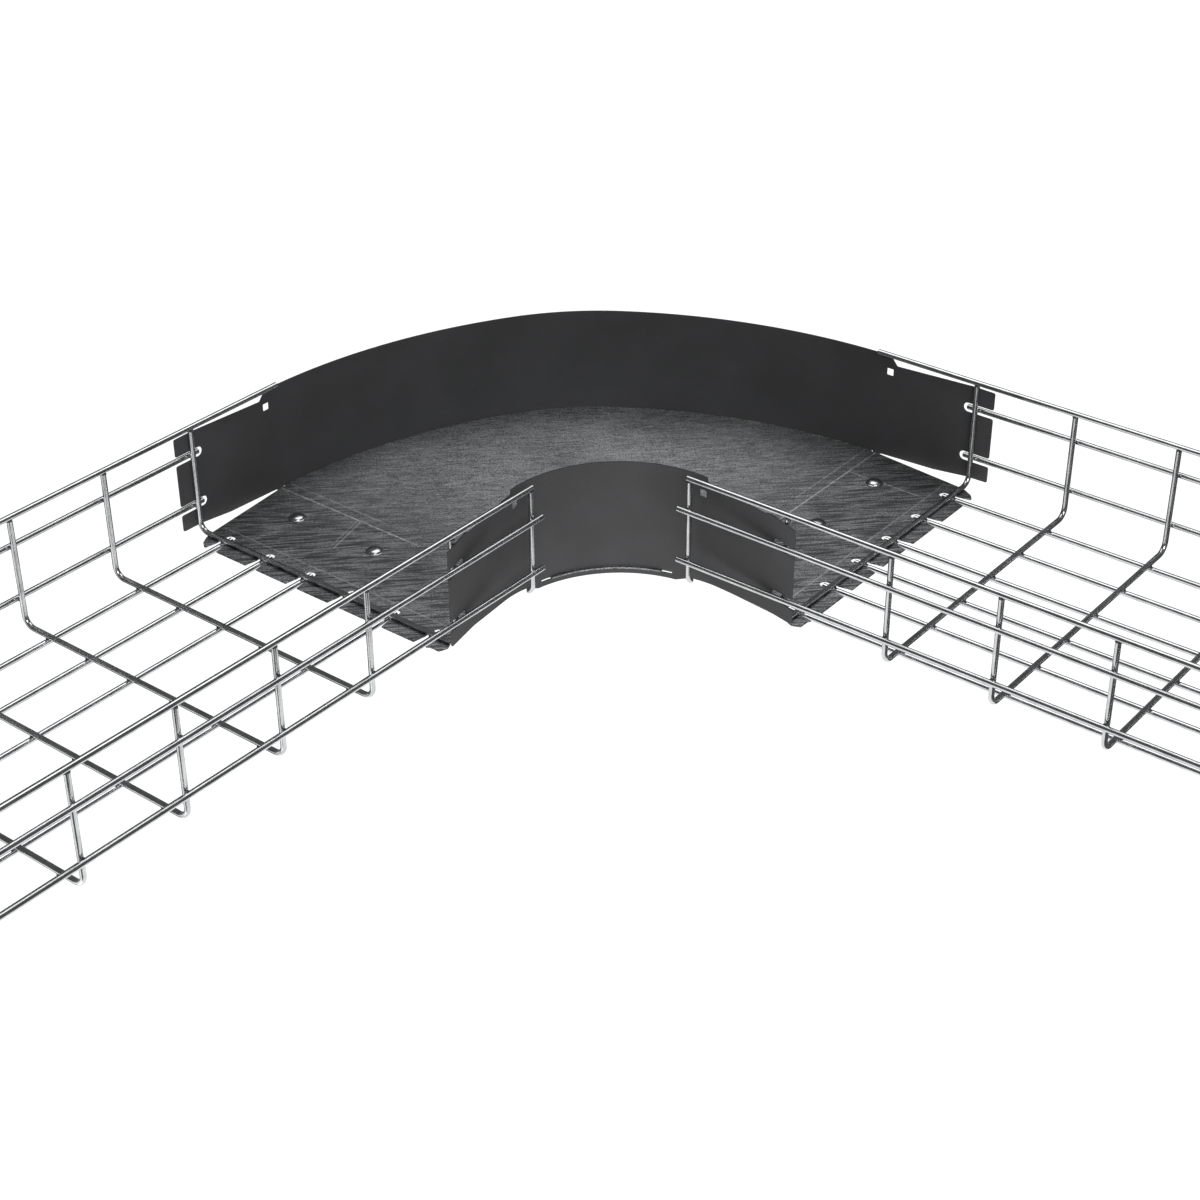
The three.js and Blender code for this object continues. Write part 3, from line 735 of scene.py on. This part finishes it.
# %% [markdown]
# ## Rolling a panel
#
# A real panel is cut flat and then rolled to its curve, and that is how it is made here. The blank is
# drawn with its length laid out straight: (distance along the sheet, height). It is cut across at
# every station of the sweep line, and then each vertex is carried to its place round the bend. Its
# slots, holes and slit bend with it and keep their true size.

# %% Roll a blank along a sweep line
def sweep_table(half_line):
    """Stations of a whole sweep line: (distance from the middle, place, normal)."""
    line = [Vector(p) for p in half_line][::-1]
    line = [Vector(mirrored(p)) for p in line[:0:-1]] + line
    places = [0.0]
    for a, b in zip(line, line[1:]):
        places.append(places[-1] + (b - a).length)
    centre = places[-1] / 2
    normals = []
    for i in range(len(line)):
        heading = (line[min(i + 1, len(line) - 1)] - line[max(i - 1, 0)]).normalized()
        normals.append(Vector((-heading.y, heading.x)))
    return [(s - centre, p, n) for s, p, n in zip(places, line, normals)]


def distance_to(table, along):
    """Distance along the sheet at which the right half reaches a place along the run."""
    half_table = [row for row in table if row[0] >= 0]
    for (s0, p0, _), (s1, p1, _) in zip(half_table, half_table[1:]):
        if p0.x <= along <= p1.x:
            return s0 + (s1 - s0) * (along - p0.x) / (p1.x - p0.x)
    return half_table[-1][0]


def roll(mesh, table):
    for s, _, _ in table[1:-1]:
        bmesh.ops.bisect_plane(mesh, geom=mesh.verts[:] + mesh.edges[:] + mesh.faces[:],
                               plane_co=(s, 0, 0), plane_no=(1, 0, 0), dist=1e-7)
    for vert in mesh.verts:
        s, height, depth = vert.co
        k = max(0, min(len(table) - 2, sum(1 for row in table if row[0] <= s + 1e-7) - 1))
        (s0, p0, n0), (s1, p1, n1) = table[k], table[k + 1]
        t = (s - s0) / (s1 - s0)
        spot = p0.lerp(p1, t) + n0.lerp(n1, t) * depth
        vert.co = Vector((spot.x, spot.y, height)) + bend


# %% Draw a panel's slots, slit and holes
WALL_SLOT = 9.2 * MM
SLIT = (plate_low - 0.5 * MM, plate_high + 0.5 * MM)
PANEL_HOLE = 7 * MM
HOLE_HEIGHT = top_wire - 19 * MM


def wall_slot(distance, height, end):
    """An open slot for a side wire, from the sheet's end to a round inner end."""
    half = WALL_SLOT / 2
    round_end = [(*p, 0) for p in arc((distance + half, height), half, 270, 90, step=15)]
    return [(end, height - half, 2 * MM)] + round_end + [(end, height + half, 2 * MM)]


def blank_outline(bottom, slot_start, top, end):
    """A whole blank, from the lower and upper edge of its right half, with two slots at each end."""
    slots = []
    for height in (low_wire, mid_wire):
        slots += wall_slot(slot_start, height, end)
    half = eased([(0, panel_low, 0)] + bottom + slots + top + [(0, panel_high, 0)])[1:-1]
    return half + [(-s, z) for s, z in half[::-1]]


def blank_holes(slit_end, hole):
    """The slit for the plate's tongue, which runs past the tongue's ends, and the two square holes."""
    slit = [(-slit_end, SLIT[0]), (slit_end, SLIT[0]), (slit_end, SLIT[1]), (-slit_end, SLIT[1])]
    return [slit] + [square(s, HOLE_HEIGHT, PANEL_HOLE, ease=0.8 * MM, steps=3) for s in (hole, -hole)]


print("slots", WALL_SLOT / MM, "mm wide, square holes", PANEL_HOLE / MM, "mm")

# %% [markdown]
# ## The outside panel
#
# Its ends drop below the top wire and rise above the floor wires. Each end has a slot for each of
# the two side wires and one square hole. A long slit near the lower edge takes the plate's tongue.

# %% Draw, cut and roll the outside panel
outer_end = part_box("outer_panel")[1].x - bend.x
outer_table = sweep_table(outer_half(0, outer_end))
end_s = outer_table[-1][0]


def outer_s(along):
    """Distance along the outside sheet to a place along the run, given in mm."""
    return distance_to(outer_table, along * MM)


bottom = [
    (outer_s(-6), panel_low, 1 * MM), (outer_s(2), plate_high, 2 * MM),
    (outer_s(60), (plate_high + over_cross) / 2 - 0.3 * MM, 0), (outer_s(95), over_cross + 1 * MM, 0),
    (end_s, over_cross + 1.5 * MM, 2 * MM),
]
top = [
    (end_s, top_wire - 7.2 * MM, 2 * MM), (outer_s(96), top_wire - 6.8 * MM, 0),
    (outer_s(13), top_wire - 11.3 * MM, 2 * MM), (outer_s(8), panel_high - 3 * MM, 1 * MM),
    (outer_s(7), panel_high, 1.5 * MM),
]
outline = blank_outline(bottom, outer_s(86), top, end_s)
outer_blank = cut_sheet(outline, blank_holes(slit_end=outer_s(-7.05), hole=outer_s(6)), PANEL)
roll(outer_blank, outer_table)
print("outside blank:", round(2 * end_s / MM), "mm long,", len(outer_blank.faces), "faces when rolled")

# %% [markdown]
# ## The inside panel
#
# The same way. Its flat ends are let down a little between the uprights, and their lower edge
# climbs to pass over the first cross wire.

# %% Draw, cut and roll the inside panel
inner_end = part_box("inner_panel")[1].x - bend.x
inner_table = sweep_table(inner_half(0, inner_end))
end_s = inner_table[-1][0]


def inner_s(along):
    """Distance along the inside sheet to a place along the run, given in mm."""
    return distance_to(inner_table, along * MM)


bottom = [
    (inner_s(-22), panel_low, 1 * MM), (inner_s(-7), plate_high - 1 * MM, 2 * MM),
    (inner_s(76), over_cross + 2.7 * MM, 6 * MM), (end_s, over_cross + 2.7 * MM, 2.5 * MM),
]
top = [
    (end_s, top_wire - 7.6 * MM, 2.5 * MM), (inner_s(84), top_wire - 4.5 * MM, 4 * MM),
    (inner_s(76), top_wire - 7 * MM, 2 * MM), (inner_s(9), top_wire - 7 * MM, 2 * MM),
    (inner_s(8.3), panel_high, 1.5 * MM),
]
outline = blank_outline(bottom, inner_s(88), top, end_s)
inner_blank = cut_sheet(outline, blank_holes(slit_end=inner_s(-25.5), hole=inner_s(4)), PANEL)
roll(inner_blank, inner_table)
print("inside blank:", round(2 * end_s / MM), "mm long,", len(inner_blank.faces), "faces when rolled")

# %% [markdown]
# ## Black powder coat
#
# The panels are steel with a satin black powder coat. Powder melts into a skin that is not quite
# flat, like fine orange peel with bumps about 1.5 mm across, so its soft reflections break up. Dust
# and rubbing leave it a little paler in places.

# %% Make the powder coat finish
powder, tree, shader = new_finish("satin_black_powder_coat", Metallic=0.0, IOR=1.5,
                                  Specular_IOR_Level=0.2)
place = add_node(tree, "ShaderNodeTexCoord").outputs["Object"]
peel = add_node(tree, "ShaderNodeTexNoise", {"Scale": 1 / (1.5 * MM), "Detail": 2.0}, {"Vector": place})
rubbed = add_node(tree, "ShaderNodeTexNoise", {"Scale": 1 / (60 * MM), "Detail": 4.0}, {"Vector": place})
specks = add_node(tree, "ShaderNodeTexNoise", {"Scale": 1 / (2.2 * MM), "Detail": 1.0}, {"Vector": place})
black = add_node(tree, "ShaderNodeMixRGB", {"Color1": linear("#3b3b3c"), "Color2": linear("#4e4e50")},
                 {"Fac": rubbed.outputs["Fac"]})
dusty = add_node(tree, "ShaderNodeMapRange", {"From Min": 0.7, "From Max": 0.78, "To Max": 0.5},
                 {"Value": specks.outputs["Fac"]})
black = add_node(tree, "ShaderNodeMixRGB", {"Color2": linear("#5a5a5a")},
                 {"Fac": dusty.outputs["Result"], "Color1": black.outputs["Color"]})
satin = add_node(tree, "ShaderNodeMapRange", {"To Min": 0.38, "To Max": 0.52},
                 {"Value": rubbed.outputs["Fac"]})
skin = add_node(tree, "ShaderNodeBump", {"Strength": 0.25, "Distance": 0.05 * MM},
                {"Height": peel.outputs["Fac"]})
tree.links.new(black.outputs["Color"], shader.inputs["Base Color"])
tree.links.new(satin.outputs["Result"], shader.inputs["Roughness"])
tree.links.new(skin.outputs["Normal"], shader.inputs["Normal"])
add_piece("outer_panel_rolled", outer_blank, "outer_panel", [powder], sharp_above=25)
add_piece("inner_panel_rolled", inner_blank, "inner_panel", [powder], sharp_above=25)
print("finish:", powder.name)

# %% [markdown]
# ## Bright zinc fasteners
#
# Small fasteners are barrel plated, which tumbles them against each other, so they come out brighter
# than the wire, with tiny dents and a few dull spots.

# %% Make the fastener finish
bright_zinc, tree, shader = new_finish("barrel_plated_zinc", Metallic=1.0)
place = add_node(tree, "ShaderNodeTexCoord").outputs["Object"]
dents = add_node(tree, "ShaderNodeTexNoise", {"Scale": 1 / (1.6 * MM), "Detail": 3.0}, {"Vector": place})
bright = add_node(tree, "ShaderNodeMixRGB", {"Color1": linear("#a8aaab"), "Color2": linear("#dcdedf")},
                  {"Fac": dents.outputs["Fac"]})
gloss = add_node(tree, "ShaderNodeMapRange", {"To Min": 0.14, "To Max": 0.32},
                 {"Value": dents.outputs["Fac"]})
dented = add_node(tree, "ShaderNodeBump", {"Strength": 0.4, "Distance": 0.12 * MM},
                  {"Height": dents.outputs["Fac"]})
tree.links.new(bright.outputs["Color"], shader.inputs["Base Color"])
tree.links.new(gloss.outputs["Result"], shader.inputs["Roughness"])
tree.links.new(dented.outputs["Normal"], shader.inputs["Normal"])
print("finish:", bright_zinc.name)

# %% [markdown]
# ## Carriage bolts
#
# A carriage bolt has a low dome and a square neck that locks in the plate's square hole. The neck
# can't be seen in its hole, so it is left round, and the whole bolt is turned from a profile: rings
# of vertices round its axis. Below the neck the radius rises and falls once a millimetre, shifted a
# little at each step round the ring, and that shift is what makes the grooves into one thread
# instead of a stack of separate rings.

# %% Turn rings of vertices
TURN = 48


def turned_rings(mesh, centre, rings):
    """Joins rings of (radius at an angle, height) round a vertical axis, with closed ends."""
    previous = None
    for radius_at, height in rings:
        ring = []
        for i in range(TURN):
            a = 2 * math.pi * i / TURN
            radius = radius_at(a, height)
            ring.append(mesh.verts.new(centre + Vector((radius * math.cos(a), radius * math.sin(a), height))))
        if previous is None:
            mesh.faces.new(ring[::-1]).smooth = True
        else:
            for i in range(TURN):
                j = (i + 1) % TURN
                mesh.faces.new((previous[i], previous[j], ring[j], ring[i])).smooth = True
        previous = ring
    mesh.faces.new(previous).smooth = True


def plain(radius):
    """A ring with the same radius all the way round."""
    return lambda angle, height: radius


print("fasteners are turned in", TURN, "steps")

# %% Describe a bolt
SHANK = 3 * MM
PITCH = 1 * MM
THREAD_DEPTH = 0.55 * MM
THREAD_STEPS = 6
POINT = 0.6 * MM
RIM = 0.8 * MM
DOME_STEPS = 9


def thread(angle, height):
    turn = (height / PITCH - angle / (2 * math.pi)) % 1
    return SHANK - THREAD_DEPTH * abs(2 * turn - 1)


def make_bolt(node):
    low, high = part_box(node)
    centre = Vector(((low.x + high.x) / 2, (low.y + high.y) / 2, 0))
    head = (high.x - low.x) / 2
    seat = plate_high + PLAY
    rings = [(plain(1.9 * MM), low.z), (plain(2.4 * MM), low.z + 0.5 * MM)]
    count = int((plate_low - low.z - POINT) / (PITCH / THREAD_STEPS))
    rings += [(thread, low.z + POINT + i * PITCH / THREAD_STEPS) for i in range(count)]
    neck = SHANK - 0.05 * MM
    rings += [(plain(neck), plate_low), (plain(neck), seat - 0.02 * MM)]
    rings += [(plain(head - 0.25 * MM), seat), (plain(head), seat + 0.25 * MM),
              (plain(head), seat + 0.55 * MM), (plain(head - 0.3 * MM), seat + RIM)]
    dome = head - 0.75 * MM
    rise = high.z - seat - RIM
    for i in range(DOME_STEPS):
        a = math.radians(90 * i / DOME_STEPS)
        rings.append((plain(dome * math.cos(a)), seat + RIM + rise * math.sin(a)))
    rings.append((plain(0.2 * MM), high.z))
    mesh = new_mesh()
    turned_rings(mesh, centre, rings)
    add_piece(f"{node}_turned", mesh, node, [bright_zinc], sharp_above=50)


print("thread:", 2 * SHANK / MM, "mm across, cut", THREAD_DEPTH / MM, "mm deep")

# %% [markdown]
# ## Flange nuts
#
# Under the plate each bolt carries a hexagon nut with a round flange. The same rings make it: the
# radius at each angle is the hexagon's own, cut back where the corner chamfer is smaller.

# %% Make the nuts and place the fasteners
HALF_FLATS = 5 * MM


def hexagon(limit):
    """A hexagon's ring, with its corners cut back to a limit."""
    def radius_at(angle, height):
        off_middle = (angle % (math.pi / 3)) - math.pi / 6
        return min(HALF_FLATS / math.cos(off_middle), limit)
    return radius_at


def make_nut(node):
    low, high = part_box(node)
    centre = Vector(((low.x + high.x) / 2, (low.y + high.y) / 2, 0))
    flange = (high.x - low.x) / 2
    rings = [(plain(3.3 * MM), low.z + 0.3 * MM), (hexagon(5.0 * MM), low.z),
             (hexagon(5.35 * MM), low.z + 0.25 * MM), (hexagon(6 * MM), low.z + 0.7 * MM),
             (hexagon(6 * MM), high.z - 2.2 * MM), (plain(6.1 * MM), high.z - 1.5 * MM),
             (plain(flange - 0.2 * MM), high.z - 0.9 * MM), (plain(flange), high.z - 0.7 * MM),
             (plain(flange), high.z - 0.15 * MM), (plain(flange - 0.15 * MM), high.z)]
    mesh = new_mesh()
    turned_rings(mesh, centre, rings)
    add_piece(f"{node}_turned", mesh, node, [bright_zinc], sharp_above=30)


for run in ("right", "left"):
    for i in (1, 2):
        make_bolt(f"{run}_carriage_bolt_{i}")
        make_nut(f"{run}_flange_nut_{i}")
print("fasteners: 4 bolts and 4 nuts")

# %% [markdown]
# ## Floor, light and camera
#
# Tray hangs in the air in use, so the floor lies well below it. The floor and the walls glow, which
# makes them white all over. The light comes from large soft boxes in a dim room, two of them lying
# below the tray: bright metal shows what is around it, so a wire needs both a pale strip and
# something darker to read as round. Glossy rays pass the floor and the walls by, so that these don't
# wash out the dark side of the wires.

# %% Lay the floor and stand the walls
def stage_sheet(name, corners, glow):
    data = bpy.data.meshes.new(name)
    data.from_pydata(corners, [], [tuple(range(len(corners)))])
    material, _, matt_shader = new_finish(name, Roughness=0.9)
    matt_shader.inputs["Base Color"].default_value = linear("#8c8c8c")
    matt_shader.inputs["Specular IOR Level"].default_value = 0.0
    matt_shader.inputs["Emission Color"].default_value = (1, 1, 1, 1)
    matt_shader.inputs["Emission Strength"].default_value = glow
    data.materials.append(material)
    sheet = bpy.data.objects.new(name, data)
    bpy.context.scene.collection.objects.link(sheet)
    return sheet


FLOOR_DROP = 0.35
SPREAD = 20
corners = [(-SPREAD, -SPREAD), (SPREAD, -SPREAD), (SPREAD, SPREAD), (-SPREAD, SPREAD)]
floor = stage_sheet("pale_floor", [(x, y, -FLOOR_DROP) for x, y in corners], glow=1.0)
floor.visible_glossy = False
for i, (near, far) in enumerate(zip(corners, corners[1:] + corners[:1])):
    wall = stage_sheet(f"pale_backdrop_{i + 1}", [(*near, -FLOOR_DROP), (*far, -FLOOR_DROP),
                                                  (*far, SPREAD), (*near, SPREAD)], glow=1.05)
    wall.visible_glossy = wall.visible_diffuse = wall.visible_shadow = False
print("floor", FLOOR_DROP, "m below the tray, walls", SPREAD, "m away")

# %% Hang the lights
world = bpy.data.worlds.new("dim_room")
bpy.context.scene.world = world
world.use_nodes = True
world.node_tree.nodes["Background"].inputs["Color"].default_value = (0.10, 0.10, 0.10, 1)


def soft_box(name, place, aim, width, height, power):
    data = bpy.data.lights.new(name, "AREA")
    data.shape = "RECTANGLE"
    data.size, data.size_y, data.energy = width, height, power
    box = bpy.data.objects.new(name, data)
    box.location = place
    box.rotation_mode = "QUATERNION"
    box.rotation_quaternion = (Vector(aim) - Vector(place)).to_track_quat("-Z", "Y")
    box.visible_camera = False
    bpy.context.scene.collection.objects.link(box)
    print(name, "gives", round(power / (math.pi * width * height), 2), "W per m2 and steradian")


soft_box("overhead_box", (-0.40, 0.55, 1.3), (-0.40, 0.551, 0), 1.0, 1.3, 8)
soft_box("front_box", (2.7, -1.9, 2.0), (0, 0, 0), 2.5, 1.6, 65)
soft_box("card_under_bend", (-0.02, -0.08, -0.34), (-0.02, -0.079, 1), 0.85, 1.15, 3.2)
soft_box("card_under_left_run", (-0.65, -0.95, -0.34), (-0.65, -0.949, 1), 0.9, 0.8, 2.6)

# %% Place the camera
camera_data = bpy.data.cameras.new("camera")
camera_data.sensor_width = 36
camera_data.lens = 68.14
camera_data.shift_x = -0.0126
camera_data.shift_y = 0.0059
camera = bpy.data.objects.new("camera", camera_data)
camera.location = bend + Vector((0.980574, -1.262969, 1.04875))
azimuth, elevation = math.radians(37.98), math.radians(32.30)
back = Vector((math.sin(azimuth) * math.cos(elevation), -math.cos(azimuth) * math.cos(elevation),
               math.sin(elevation)))
camera.rotation_mode = "QUATERNION"
camera.rotation_quaternion = (-back).to_track_quat("-Z", "Y")
bpy.context.scene.collection.objects.link(camera)
bpy.context.scene.camera = camera
bpy.context.scene.view_settings.view_transform = "Standard"
print("camera", [round(v, 3) for v in camera.location], "lens", camera_data.lens)
